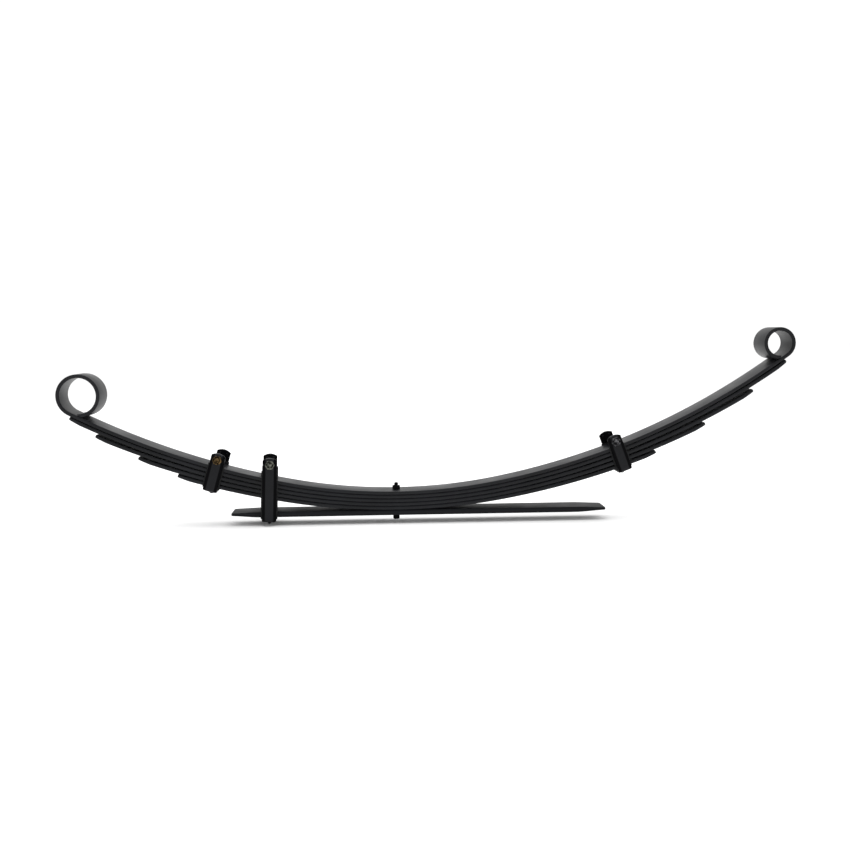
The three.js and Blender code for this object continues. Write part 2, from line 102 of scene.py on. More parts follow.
def set_inputs(tree: bpy.types.NodeTree, node: bpy.types.Node,
               inputs: dict[Any, Any]) -> None:
    """Sets or links a node's inputs.

    Args:
        tree: The node's tree.
        node: The node.
        inputs: A value or a socket to link, for each input's name or number.
    """
    for key, value in inputs.items():
        if isinstance(value, bpy.types.NodeSocket):
            tree.links.new(value, node.inputs[key])
        else:
            node.inputs[key].default_value = value


def add_node(tree: bpy.types.NodeTree, kind: str, inputs: dict[Any, Any] | None = None,
             **settings: Any) -> bpy.types.Node:
    """Adds a node with its settings, input values and links.

    Args:
        tree: The shader or geometry tree that gets the node.
        kind: The node's type.
        inputs: A value or a socket to link, for each input's name or number.
        settings: The node's own properties.

    Returns:
        The new node.
    """
    node = tree.nodes.new(kind)
    for key, value in settings.items():
        setattr(node, key, value)
    set_inputs(tree, node, inputs or {})
    return node


def add_steps(tree: bpy.types.NodeTree, known: dict[str, Any],
              steps: tuple[tuple, ...]) -> dict[str, Any]:
    """Adds a chain of sums, each of which can use the results before it.

    Args:
        tree: The geometry tree that gets the nodes.
        known: The sockets that the first steps start from, by name.
        steps: For each sum its name, its operation, and its operands: names or numbers.

    Returns:
        All sockets by name.
    """
    for name, operation, *operands in steps:
        inputs = {i: known[x] if isinstance(x, str) else x for i, x in enumerate(operands)}
        node = add_node(tree, "ShaderNodeMath", inputs, operation=operation)
        known[name] = node.outputs[0]
    return known


# Where a point of a flat leaf blank goes when the leaf is cambered and its eye rolled:
# x is the arc length from the centre bolt, z the height over the main middle line.
CAMBER_STEPS = (
    ("arc", "ABSOLUTE", "x"),
    ("side", "SIGN", "x"),
    ("in_front", "LESS_THAN", "x", 0.0),
    ("radius_step", "SUBTRACT", "Front Radius", "Rear Radius"),
    ("end_radius", "MULTIPLY_ADD", "in_front", "radius_step", "Rear Radius"),
    ("start_step", "SUBTRACT", "Front Roll Start", "Rear Roll Start"),
    ("roll_start", "MULTIPLY_ADD", "in_front", "start_step", "Rear Roll Start"),
    ("roll_step", "SUBTRACT", "Front Roll Radius", "Rear Roll Radius"),
    ("roll_radius", "MULTIPLY_ADD", "in_front", "roll_step", "Rear Roll Radius"),
    ("plain_arc", "MINIMUM", "arc", "roll_start"),
    ("seat_arc", "MINIMUM", "plain_arc", "Seat Reach"),
    ("seat_angle", "DIVIDE", "seat_arc", "Seat Radius"),
    ("past_seat", "SUBTRACT", "plain_arc", "Seat Reach"),
    ("end_arc", "MAXIMUM", "past_seat", 0.0),
    ("end_angle", "DIVIDE", "end_arc", "end_radius"),
    ("angle", "ADD", "seat_angle", "end_angle"),
    ("seat_sine", "SINE", "seat_angle"),
    ("seat_cosine", "COSINE", "seat_angle"),
    ("sine", "SINE", "angle"),
    ("cosine", "COSINE", "angle"),
    ("sine_gain", "SUBTRACT", "sine", "seat_sine"),
    ("end_run", "MULTIPLY", "end_radius", "sine_gain"),
    ("run", "MULTIPLY_ADD", "Seat Radius", "seat_sine", "end_run"),
    ("seat_drop", "SUBTRACT", 1.0, "seat_cosine"),
    ("cosine_loss", "SUBTRACT", "seat_cosine", "cosine"),
    ("end_rise", "MULTIPLY", "end_radius", "cosine_loss"),
    ("rise", "MULTIPLY_ADD", "Seat Radius", "seat_drop", "end_rise"),
    ("past_start", "SUBTRACT", "arc", "roll_start"),
    ("roll_arc", "MAXIMUM", "past_start", 0.0),
    ("roll", "DIVIDE", "roll_arc", "roll_radius"),
    ("reach", "SUBTRACT", "roll_radius", "z"),
    ("roll_sine", "SINE", "roll"),
    ("roll_cosine", "COSINE", "roll"),
    ("outward", "MULTIPLY", "reach", "roll_sine"),
    ("downward", "MULTIPLY", "reach", "roll_cosine"),
    ("lift", "SUBTRACT", "roll_radius", "downward"),
    ("outward_run", "MULTIPLY_ADD", "outward", "cosine", "run"),
    ("lift_run", "MULTIPLY", "lift", "sine"),
    ("whole_run", "SUBTRACT", "outward_run", "lift_run"),
    ("new_x", "MULTIPLY", "side", "whole_run"),
    ("outward_rise", "MULTIPLY_ADD", "outward", "sine", "rise"),
    ("whole_rise", "MULTIPLY_ADD", "lift", "cosine", "outward_rise"),
    ("new_z", "ADD", "whole_rise", "Height"),
)
CAMBER_INPUTS = ("Seat Radius", "Seat Reach", "Front Radius", "Rear Radius", "Height",
                 "Front Roll Start", "Rear Roll Start", "Front Roll Radius",
                 "Rear Roll Radius")

# Where a point of a flat strip goes when both its ends are folded up into a U:
# y is the length from the strip's middle, z the height over its middle plane.
FOLD_STEPS = (
    ("length", "ABSOLUTE", "y"),
    ("side", "SIGN", "y"),
    ("past_floor", "SUBTRACT", "length", "Floor Half"),
    ("bend_arc", "MAXIMUM", "past_floor", 0.0),
    ("full_angle", "DIVIDE", "bend_arc", "Bend Radius"),
    ("angle", "MINIMUM", "full_angle", QUARTER_TURN),
    ("used_arc", "MULTIPLY", "angle", "Bend Radius"),
    ("ear", "SUBTRACT", "bend_arc", "used_arc"),
    ("floor", "MINIMUM", "length", "Floor Half"),
    ("reach", "SUBTRACT", "Bend Radius", "z"),
    ("sine", "SINE", "angle"),
    ("cosine", "COSINE", "angle"),
    ("half_width", "MULTIPLY_ADD", "reach", "sine", "floor"),
    ("new_y", "MULTIPLY", "side", "half_width"),
    ("downward", "MULTIPLY", "reach", "cosine"),
    ("bend_lift", "SUBTRACT", "Bend Radius", "downward"),
    ("lift", "ADD", "bend_lift", "ear"),
    ("new_z", "ADD", "lift", "Height"),
)
FOLD_INPUTS = ("Floor Half", "Bend Radius", "Height")

# Where a point of a plain shank about Z goes when a thread is cut on a stretch of it.
THREAD_STEPS = (
    ("x_square", "MULTIPLY", "x", "x"),
    ("square", "MULTIPLY_ADD", "y", "y", "x_square"),
    ("radius", "SQRT", "square"),
    ("bearing", "ARCTAN2", "y", "x"),
    ("turn_share", "DIVIDE", "bearing", 2 * math.pi),
    ("turns", "DIVIDE", "z", "Pitch"),
    ("phase", "SUBTRACT", "turns", "turn_share"),
    ("double_phase", "MULTIPLY", "phase", 2.0),
    ("wave", "PINGPONG", "double_phase", 1.0),
    ("over_start", "GREATER_THAN", "z", "Start"),
    ("under_end", "LESS_THAN", "z", "End"),
    ("off_core", "GREATER_THAN", "radius", "Core Radius"),
    ("in_stretch", "MULTIPLY", "over_start", "under_end"),
    ("on_thread", "MULTIPLY", "in_stretch", "off_core"),
    ("groove", "MULTIPLY", "wave", "on_thread"),
    ("depth", "MULTIPLY", "groove", "Depth"),
    ("depth_share", "DIVIDE", "depth", "radius"),
    ("factor", "SUBTRACT", 1.0, "depth_share"),
    ("new_x", "MULTIPLY", "x", "factor"),
    ("new_y", "MULTIPLY", "y", "factor"),
)
THREAD_INPUTS = ("Pitch", "Depth", "Start", "End", "Core Radius")


class Forming(Enum):
    """The ways a plain blank is formed: its rule's inputs, and its steps."""

    CAMBER = (CAMBER_INPUTS, CAMBER_STEPS)
    FOLD = (FOLD_INPUTS, FOLD_STEPS)
    THREAD = (THREAD_INPUTS, THREAD_STEPS)

    def tree(self) -> bpy.types.NodeTree:
        """Returns the geometry tree of this forming, made on its first use."""
        name = f"{self.name.lower()}_forming"
        if name in bpy.data.node_groups:
            return bpy.data.node_groups[name]
        inputs, steps = self.value
        tree = bpy.data.node_groups.new(name, "GeometryNodeTree")
        tree.interface.new_socket("Geometry", in_out="INPUT",
                                  socket_type="NodeSocketGeometry")
        for label in inputs:
            tree.interface.new_socket(label, in_out="INPUT", socket_type="NodeSocketFloat")
        tree.interface.new_socket("Finish", in_out="INPUT",
                                  socket_type="NodeSocketMaterial")
        tree.interface.new_socket("Geometry", in_out="OUTPUT",
                                  socket_type="NodeSocketGeometry")
        start = add_node(tree, "NodeGroupInput")
        place = add_node(tree, "GeometryNodeInputPosition")
        parts = add_node(tree, "ShaderNodeSeparateXYZ", {0: place.outputs[0]})
        known = {label: start.outputs[label] for label in inputs}
        known.update(x=parts.outputs[0], y=parts.outputs[1], z=parts.outputs[2])
        add_steps(tree, known, steps)
        moved = add_node(tree, "ShaderNodeCombineXYZ",
                         {i: known.get(f"new_{c}", known[c]) for i, c in enumerate("xyz")})
        formed = add_node(tree, "GeometryNodeSetPosition",
                          {"Geometry": start.outputs["Geometry"],
                           "Position": moved.outputs[0]})
        real = add_node(tree, "GeometryNodeRealizeInstances", {0: formed.outputs[0]})
        dressed = add_node(tree, "GeometryNodeSetMaterial",
                           {"Geometry": real.outputs[0],
                            "Material": start.outputs["Finish"]})
        add_node(tree, "NodeGroupOutput", {"Geometry": dressed.outputs[0]})
        return tree


def form(piece: bpy.types.Object, forming: Forming, sizes: dict[str, float],
         finish: bpy.types.Material) -> None:
    """Forms a blank by its rule and leaves it a plain mesh with its finish.

    Args:
        piece: The blank, whose mesh is replaced.
        forming: The rule.
        sizes: The rule's inputs in metres.
        finish: The material that the tree sets.
    """
    tree = forming.tree()
    modifier = piece.modifiers.new(forming.name.lower(), "NODES")
    modifier.node_group = tree
    for socket in tree.interface.items_tree:
        if socket.in_out == "INPUT" and socket.name in sizes:
            modifier[socket.identifier] = sizes[socket.name]
        if socket.in_out == "INPUT" and socket.name == "Finish":
            modifier[socket.identifier] = finish
    bake_modifiers(piece)


def bake_modifiers(piece: bpy.types.Object) -> None:
    """Turns a piece's modifiers into its plain mesh and removes them."""
    graph = bpy.context.evaluated_depsgraph_get()
    graph.update()
    mesh = bpy.data.meshes.new_from_object(piece.evaluated_get(graph))
    piece.modifiers.clear()
    old = piece.data
    piece.data = mesh
    bpy.data.meshes.remove(old)


# ---- meshes ----------------------------------------------------------------------


def piece_of(name: str, points: list[Point], faces: list[list[int]]) -> bpy.types.Object:
    """Makes a closed piece from points in millimetres.

    Args:
        name: The piece's name.
        points: Its corners.
        faces: Its faces, as numbers of corners.

    Returns:
        The piece, with its doubles merged and its faces pointing outwards.
    """
    mesh = bpy.data.meshes.new(name)
    mesh.from_pydata([Vector(p) * MM for p in points], [], faces)
    work = bmesh.new()
    work.from_mesh(mesh)
    bmesh.ops.remove_doubles(work, verts=work.verts, dist=1e-6)
    bmesh.ops.recalc_face_normals(work, faces=work.faces)
    work.to_mesh(mesh)
    work.free()
    piece = bpy.data.objects.new(name, mesh)
    bpy.context.scene.collection.objects.link(piece)
    return piece


def loft(name: str, rings: list[list[Point]]) -> bpy.types.Object:
    """Skins a row of rings with the same number of points, and closes both ends.

    Args:
        name: The piece's name.
        rings: The rings in millimetres.

    Returns:
        The piece.
    """
    count = len(rings[0])
    faces = [list(range(count)), [(len(rings) - 1) * count + j for j in range(count)]]
    for i in range(len(rings) - 1):
        for j in range(count):
            k = (j + 1) % count
            faces.append([i * count + j, i * count + k,
                          (i + 1) * count + k, (i + 1) * count + j])
    return piece_of(name, [p for ring in rings for p in ring], faces)


def loft_mirrored(name: str, rings: list[list[Point]]) -> bpy.types.Object:
    """Skins rings that run up to Y = 0, together with their mirror beyond it."""
    beyond = [[(x, -y, z) for x, y, z in ring] for ring in reversed(rings[:-1])]
    return loft(name, rings + beyond)


def turned(name: str, profile_at: Callable[[float], Profile], facets: int = 48,
           open_bore: bool = False) -> bpy.types.Object:
    """Turns a profile about Z. The profile may change with the angle, as on a hexagon.

    Args:
        name: The piece's name.
        profile_at: Gives the profile's (radius, height) points at an angle.
        facets: The number of angles.
        open_bore: Whether the profile is a loop round a bore; else it ends on the axis.

    Returns:
        The piece.
    """
    points: list[Point] = []
    for i in range(facets):
        angle = 2 * math.pi * i / facets
        points += [(r * math.cos(angle), r * math.sin(angle), z)
                   for r, z in profile_at(angle)]
    count = len(points) // facets
    faces = []
    for i in range(facets):
        for j in range(count if open_bore else count - 1):
            k, n = (j + 1) % count, (i + 1) % facets
            faces.append([i * count + j, n * count + j, n * count + k, i * count + k])
    return piece_of(name, points, faces)


def drill(piece: bpy.types.Object, cutters: list[bpy.types.Object]) -> None:
    """Cuts each cutter out of a piece and throws the cutters away."""
    for cutter in cutters:
        cut = piece.modifiers.new("drill", "BOOLEAN")
        cut.operation, cut.solver, cut.object = "DIFFERENCE", "EXACT", cutter
    bake_modifiers(piece)
    for cutter in cutters:
        bpy.data.objects.remove(cutter)


def rod(radius: float, bottom: float, top: float, x: float = 0.0,
        y: float = 0.0) -> bpy.types.Object:
    """Makes an upright round cutter.

    Args:
        radius: Its radius.
        bottom: The height of its lower end.
        top: The height of its upper end.
        x: Its place on X.
        y: Its place on Y.

    Returns:
        The cutter.
    """
    profile = [(0.0, bottom), (radius, bottom), (radius, top), (0.0, top)]
    cutter = turned("cutter", lambda _: profile, facets=32)
    cutter.data.transform(Matrix.Translation(Vector((x, y, 0.0)) * MM))
    return cutter


def spread(start: float, stop: float, pitch: float) -> list[float]:
    """Returns even steps from start to stop, no longer than the pitch."""
    count = max(1, math.ceil(abs(stop - start) / pitch))
    return [start + (stop - start) * i / count for i in range(count + 1)]


def rounding(inset: float, radius: float) -> float:
    """Returns how far a rounded corner has fallen back at an inset from its end."""
    if inset >= radius:
        return 0.0
    return radius - math.sqrt(radius ** 2 - (radius - inset) ** 2)


def bar_ring(half_width: float, bottom: float, top: float, edge: float,
             bulge: float) -> Profile:
    """The section of a rolled flat bar: rounded corners and slightly convex sides.

    Args:
        half_width: Half the bar's width at the middle of its sides.
        bottom: The height of its lower face.
        top: The height of its upper face.
        edge: The radius of its corners.
        bulge: How far the sides' middle stands proud of their ends.

    Returns:
        The ring's (across, height) points, once round.
    """
    edge = min(edge, (top - bottom) * 0.45)
    inner = half_width - bulge - edge
    corner = [(math.cos(a), math.sin(a)) for a in spread(0.0, QUARTER_TURN, 0.4)]
    middle = (bottom + top) / 2
    half_height = (top - bottom) / 2
    side = [(inner + edge * c, bottom + edge - edge * s) for c, s in reversed(corner)]
    side += [(half_width - bulge * share ** 2, middle + share * half_height)
             for share in (-0.6, -0.3, 0.0, 0.3, 0.6)]
    side += [(inner + edge * c, top - edge + edge * s) for c, s in corner]
    return side + [(-a, z) for a, z in reversed(side)]


def strap_ring(half_width: float, bottom: float, top: float, crown: float,
               shoulder: float) -> Profile:
    """The section of a clip's strap: its lower face falls off towards both edges.

    Args:
        half_width: Half the strap's width.
        bottom: The height of the lower face's flat middle.
        top: The height of the upper face.
        crown: How far the lower face's edges lie above its middle.
        shoulder: The width of each sloping shoulder.

    Returns:
        The ring's (across, height) points, once round.
    """
    edge, most = 0.9, half_width * 0.9
    side = []
    for inset in (shoulder, 4.0, 2.4, 1.1, 0.35, 0.0):
        share = 1 - inset / shoulder
        lift = crown * share ** 2 + rounding(inset, edge)
        side.append((half_width - min(inset, most), bottom + lift))
    side += [(half_width, top - edge), (half_width - edge / 3, top - edge / 3),
             (half_width - min(edge, most), top)]
    return side + [(-a, z) for a, z in reversed(side)]


# ---- finishes --------------------------------------------------------------------


def linear(tone: str) -> tuple[float, float, float, float]:
    """Turns an sRGB hex colour into linear light.

    Args:
        tone: The colour as rrggbb.

    Returns:
        Red, green, blue and alpha.
    """
    channels = [int(tone[i:i + 2], 16) / 255 for i in (0, 2, 4)]
    light = [c / 12.92 if c <= 0.04045 else ((c + 0.055) / 1.055) ** 2.4 for c in channels]
    return (*light, 1.0)


def per_metre(size: float) -> float:
    """Returns the noise scale that gives features of a size in millimetres."""
    return 1000.0 / size


@dataclass(frozen=True)
class Finish:
    """A finish: the two tones that its patterns wander between, and its roughness."""

    name: str
    tone: str
    other_tone: str
    roughness: float

    def material(self) -> bpy.types.Material:
        """Returns the material, made on its first use."""
        if self.name in bpy.data.materials:
            return bpy.data.materials[self.name]
        material = bpy.data.materials.new(self.name)
        material.use_nodes = True
        tree = material.node_tree
        place = add_node(tree, "ShaderNodeTexCoord").outputs["Object"]
        set_inputs(tree, tree.nodes["Principled BSDF"], self.surface(tree, place))
        return material

    def surface(self, tree: bpy.types.NodeTree,
                place: bpy.types.NodeSocket) -> dict[str, Any]:
        """Adds the finish's patterns; each kind of finish has its own.

        Args:
            tree: The material's tree.
            place: The place on the piece, in metres.

        Returns:
            The shader's inputs: values or sockets by name.
        """
        raise NotImplementedError


@dataclass(frozen=True)
class Enamel(Finish):
    """Black chassis enamel sprayed on shot-blasted steel: satin, a little uneven.

    Thin paint rubs through to a greyer tone on the corners, dust lies in it as specks,
    and the blasted steel below shows as a fine grain. On a strap, painted shade darkens
    the shoulders that face away from the light; the middle band keeps the paint's tone.
    """

    specular: float
    grain: float = 1.4  # shot-blast dimples; real ones are 0.3 mm, too fine to show
    cloud: float = 70.0
    edge_wear: float = 0.2
    band: float = 0.0  # half the unshaded middle band's width; 0 paints no shade on the shoulders
    # the colour and the share of gloss painted on a strap's shoulders as shade
    shoulder_shade_tone: str = "030304"
    shoulder_shade_gloss: float = 0.15

    def surface(self, tree: bpy.types.NodeTree,
                place: bpy.types.NodeSocket) -> dict[str, Any]:
        """Adds clouds, specks, worn corners, grain and a strap's painted shade, as Finish
        says.
        """
        cloud = add_node(tree, "ShaderNodeTexNoise",
                         {"Vector": place, "Scale": per_metre(self.cloud), "Detail": 4.0})
        clouds = add_node(tree, "ShaderNodeMapRange",
                          {"Value": cloud.outputs["Fac"], "From Min": 0.35,
                           "From Max": 0.7, "To Max": 0.35})
        grain = add_node(tree, "ShaderNodeTexNoise",
                         {"Vector": place, "Scale": per_metre(self.grain), "Detail": 2.0})
        specks = add_node(tree, "ShaderNodeMapRange",
                          {"Value": grain.outputs["Fac"], "From Min": 0.56,
                           "From Max": 0.72, "To Max": 0.7})
        corners = add_node(tree, "ShaderNodeNewGeometry").outputs["Pointiness"]
        worn = add_node(tree, "ShaderNodeMapRange",
                        {"Value": corners, "From Min": 0.51, "From Max": 0.6,
                         "To Max": self.edge_wear})
        marks = add_node(tree, "ShaderNodeMath",
                         {0: clouds.outputs[0], 1: specks.outputs[0]}, operation="ADD")
        share = add_node(tree, "ShaderNodeMath",
                         {0: marks.outputs[0], 1: worn.outputs[0]}, operation="ADD",
                         use_clamp=True)
        colour = add_node(tree, "ShaderNodeMix",
                          {0: share.outputs[0], 6: linear(self.tone),
                           7: linear(self.other_tone)}, data_type="RGBA")
        gloss = add_node(tree, "ShaderNodeMapRange",
                         {"Value": cloud.outputs["Fac"], "From Min": 0.3, "From Max": 0.7,
                          "To Min": self.roughness - 0.06, "To Max": self.roughness + 0.1})
        bump = add_node(tree, "ShaderNodeBump",
                        {"Height": grain.outputs["Fac"], "Strength": 0.45,
                         "Distance": 0.2 * MM})
        inputs = {"Base Color": colour.outputs[2], "Specular IOR Level": self.specular,
                  "Roughness": gloss.outputs[0], "Normal": bump.outputs[0]}
        # a strap gets painted shade on its shoulders
        if self.band:
            inputs |= self.shade_strap_shoulders(tree, colour.outputs[2])
        return inputs

    def shade_strap_shoulders(self, tree: bpy.types.NodeTree,
                       colour: bpy.types.NodeSocket) -> dict[str, bpy.types.NodeSocket]:
        """Paints shade on a strap's shoulders and leaves the band along its middle unshaded.

        Args:
            tree: The material's tree.
            colour: The paint's own colour, without painted shade.

        Returns:
            The sockets of the shader's colour and specular level.
        """
        across = add_node(tree, "ShaderNodeAttribute", attribute_name=ACROSS)
        unshaded = add_node(tree, "ShaderNodeMapRange",
                         {"Value": across.outputs["Fac"], "From Min": self.band - 1.0,
                          "From Max": self.band + 1.2, "To Min": 1.0, "To Max": 0.0})
        shaded_colour = add_node(tree, "ShaderNodeMix",
                          {0: unshaded.outputs[0], 6: linear(self.shoulder_shade_tone), 7: colour},
                          data_type="RGBA")
        shine = add_node(tree, "ShaderNodeMapRange",
                         {"Value": unshaded.outputs[0],
                          "To Min": self.specular * self.shoulder_shade_gloss,
                          "To Max": self.specular})
        return {"Base Color": shaded_colour.outputs[2], "Specular IOR Level": shine.outputs[0]}


@dataclass(frozen=True)
class ZincPlate(Finish):
    """Passivated zinc on a drop-forged bolt or nut: a cloudy metal with fine scratches.

    The passivation's tint wanders between two tones, and dirt dulls it in patches.
    """

    cloud: float = 5.0
    scratch: float = 0.6

    def surface(self, tree: bpy.types.NodeTree,
                place: bpy.types.NodeSocket) -> dict[str, Any]:
        """Adds the plating's clouds and scratches, as Finish says."""
        cloud = add_node(tree, "ShaderNodeTexNoise",
                         {"Vector": place, "Scale": per_metre(self.cloud), "Detail": 5.0})
        tint = add_node(tree, "ShaderNodeMapRange",
                        {"Value": cloud.outputs["Fac"], "From Min": 0.38,
                         "From Max": 0.62})
        colour = add_node(tree, "ShaderNodeMix",
                          {0: tint.outputs[0], 6: linear(self.tone),
                           7: linear(self.other_tone)}, data_type="RGBA")
        gloss = add_node(tree, "ShaderNodeMapRange",
                         {"Value": cloud.outputs["Fac"], "From Min": 0.3, "From Max": 0.7,
                          "To Min": self.roughness - 0.08, "To Max": self.roughness + 0.2})
        scratch = add_node(tree, "ShaderNodeTexNoise",
                           {"Vector": place, "Scale": per_metre(self.scratch),
                            "Detail": 3.0, "Distortion": 1.5})
        bump = add_node(tree, "ShaderNodeBump",
                        {"Height": scratch.outputs["Fac"], "Strength": 0.3,
                         "Distance": 0.06 * MM})
        return {"Base Color": colour.outputs[2], "Roughness": gloss.outputs[0],
                "Normal": bump.outputs[0], "Metallic": 1.0}


@dataclass(frozen=True)
class MouldedStrip(Finish):
    """Extruded black polyethylene strip: matt, with faint lengthwise draw marks."""

    draw_mark: float = 1.8

    def surface(self, tree: bpy.types.NodeTree,
                place: bpy.types.NodeSocket) -> dict[str, Any]:
        """Adds the draw marks, rubbed paler on their crests, as Finish says."""
        stretched = add_node(tree, "ShaderNodeMapping",
                             {"Vector": place, "Scale": (1.0, 0.06, 0.06)})
        marks = add_node(tree, "ShaderNodeTexNoise",
                         {"Vector": stretched.outputs[0],
                          "Scale": per_metre(self.draw_mark), "Detail": 3.0})
        rubbed = add_node(tree, "ShaderNodeMapRange",
                          {"Value": marks.outputs["Fac"], "From Min": 0.45,
                           "From Max": 0.75})
        colour = add_node(tree, "ShaderNodeMix",
                          {0: rubbed.outputs[0], 6: linear(self.tone),
                           7: linear(self.other_tone)}, data_type="RGBA")
        bump = add_node(tree, "ShaderNodeBump",
                        {"Height": marks.outputs["Fac"], "Strength": 0.3,
                         "Distance": 0.1 * MM})
        return {"Base Color": colour.outputs[2], "Normal": bump.outputs[0],
                "Roughness": self.roughness, "Specular IOR Level": 0.3}


LEAF_ENAMEL = Enamel("chassis_enamel_on_spring_steel", "06070a", "1e1f23", 0.4, 0.18)
HELPER_ENAMEL = Enamel("chassis_enamel_on_helper_leaf", "07080b", "16171b", 0.5, 0.12)
# the strap's enamel has painted shade on its shoulders, outside a band along its middle
STRAP_ENAMEL = Enamel("chassis_enamel_on_clip_strap", "0a0b0f", "1b1c21", 0.42, 0.24,
                      cloud=18.0, band=7.4)
FASTENER_ENAMEL = Enamel("enamel_on_centre_bolt", "040405", "0e0e0f", 0.7, 0.05,
                         cloud=6.0)
RIVET_ENAMEL = Enamel("enamel_on_hammered_rivet", "070708", "161618", 0.5, 0.12, cloud=5.0)
LINER_PLASTIC = MouldedStrip("extruded_polyethylene_liner", "050506", "0e0e0f", 0.75)
YELLOW_ZINC = ZincPlate("yellow_passivated_zinc", "6a5638", "120e0a", 0.3)
GREEN_ZINC = ZincPlate("olive_passivated_zinc", "74756c", "121310", 0.3)
GREY_ZINC = ZincPlate("clear_passivated_zinc", "5c5c5e", "0e0e10", 0.34)
SLEEVE_STEEL = Enamel("black_phosphated_steel_tube", "030304", "0a0a0b", 0.8, 0.0,
                      cloud=9.0)


def dress(piece: bpy.types.Object, finish: Finish, nodes: tuple[str, ...],
          body: str | None) -> bpy.types.Object:
    """Gives a piece its finish and smooth faces, hides the nodes it stands for, and hangs it
    on its body.

    Args:
        piece: The finished piece.
        finish: The finish that it gets where it has none yet.
        nodes: The frame's nodes that it stands for.
        body: The body that it rides on, or None to leave it on none.

    Returns:
        The piece.
    """
    if not piece.data.materials:
        piece.data.materials.append(finish.material())
    piece.data.shade_smooth()
    piece.data.set_sharp_from_angle(angle=SHARP_ANGLE)
    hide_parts(*nodes)
    if body:
        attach(piece, body)
    LOG.info("%s: %d faces", piece.name, len(piece.data.polygons))
    return piece


# ---- leaves ----------------------------------------------------------------------


@dataclass
class Camber:
    """The curve of the main leaf's middle line, and how the rule's inputs say it."""

    height: float
    thickness: float
    pitch: float
    seat_radius: float = 1080.0
    seat_reach: float = 200.0
    front_radius: float = 1572.0
    rear_radius: float = 1446.0
    front_arc: float = 649.2
    rear_arc: float = 826.5
    front_bore: float = 69.0
    rear_bore: float = 48.6
    spread: float = 2.3
    spread_arc: float = 450.0
    spread_power: float = 1.6
    first_gap_share: float = 0.3

    def spread_at(self, number: int, arc: float) -> float:
        """Gives how far a leaf hangs below its place in a tight pack.

        Args:
            number: The leaf's number; the main leaf is 0.
            arc: The arc length from the centre bolt.

        Returns:
            The distance.
        """
        gaps = number - 1 + self.first_gap_share if number else 0.0
        return gaps * self.spread * (abs(arc) / self.spread_arc) ** self.spread_power

    def at(self, arc: float) -> tuple[float, float, float]:
        """Finds a place on the middle line.

        Args:
            arc: The signed arc length from the centre bolt.

        Returns:
            X, Z and the slope of +X along the leaf.
        """
        side = math.copysign(1.0, arc)
        radius = self.rear_radius if arc > 0 else self.front_radius
        seat = min(abs(arc), self.seat_reach) / self.seat_radius
        angle = seat + max(abs(arc) - self.seat_reach, 0.0) / radius
        run = self.seat_radius * math.sin(seat)
        run += radius * (math.sin(angle) - math.sin(seat))
        rise = self.seat_radius * (1 - math.cos(seat))
        rise += radius * (math.cos(seat) - math.cos(angle))
        return side * run, self.height + rise, side * angle

    def sizes(self) -> dict[str, float]:
        """Returns the camber rule's inputs in metres."""
        half = self.thickness / 2
        return {"Seat Radius": self.seat_radius * MM, "Seat Reach": self.seat_reach * MM,
                "Front Radius": self.front_radius * MM,
                "Rear Radius": self.rear_radius * MM, "Height": self.height * MM,
                "Front Roll Start": self.front_arc * MM,
                "Rear Roll Start": self.rear_arc * MM,
                "Front Roll Radius": (self.front_bore / 2 + half) * MM,
                "Rear Roll Radius": (self.rear_bore / 2 + half) * MM}

    def clip_place(self, arc: float) -> Matrix:
        """Returns the frame of a clip that stands square on the pack at an arc length."""
        x, z, slope = self.at(arc)
        half = self.thickness / 2
        top = Vector((x - half * math.sin(slope), 0.0, z + half * math.cos(slope)))
        return Matrix.Translation(top * MM) @ Matrix.Rotation(-slope, 4, "Y")


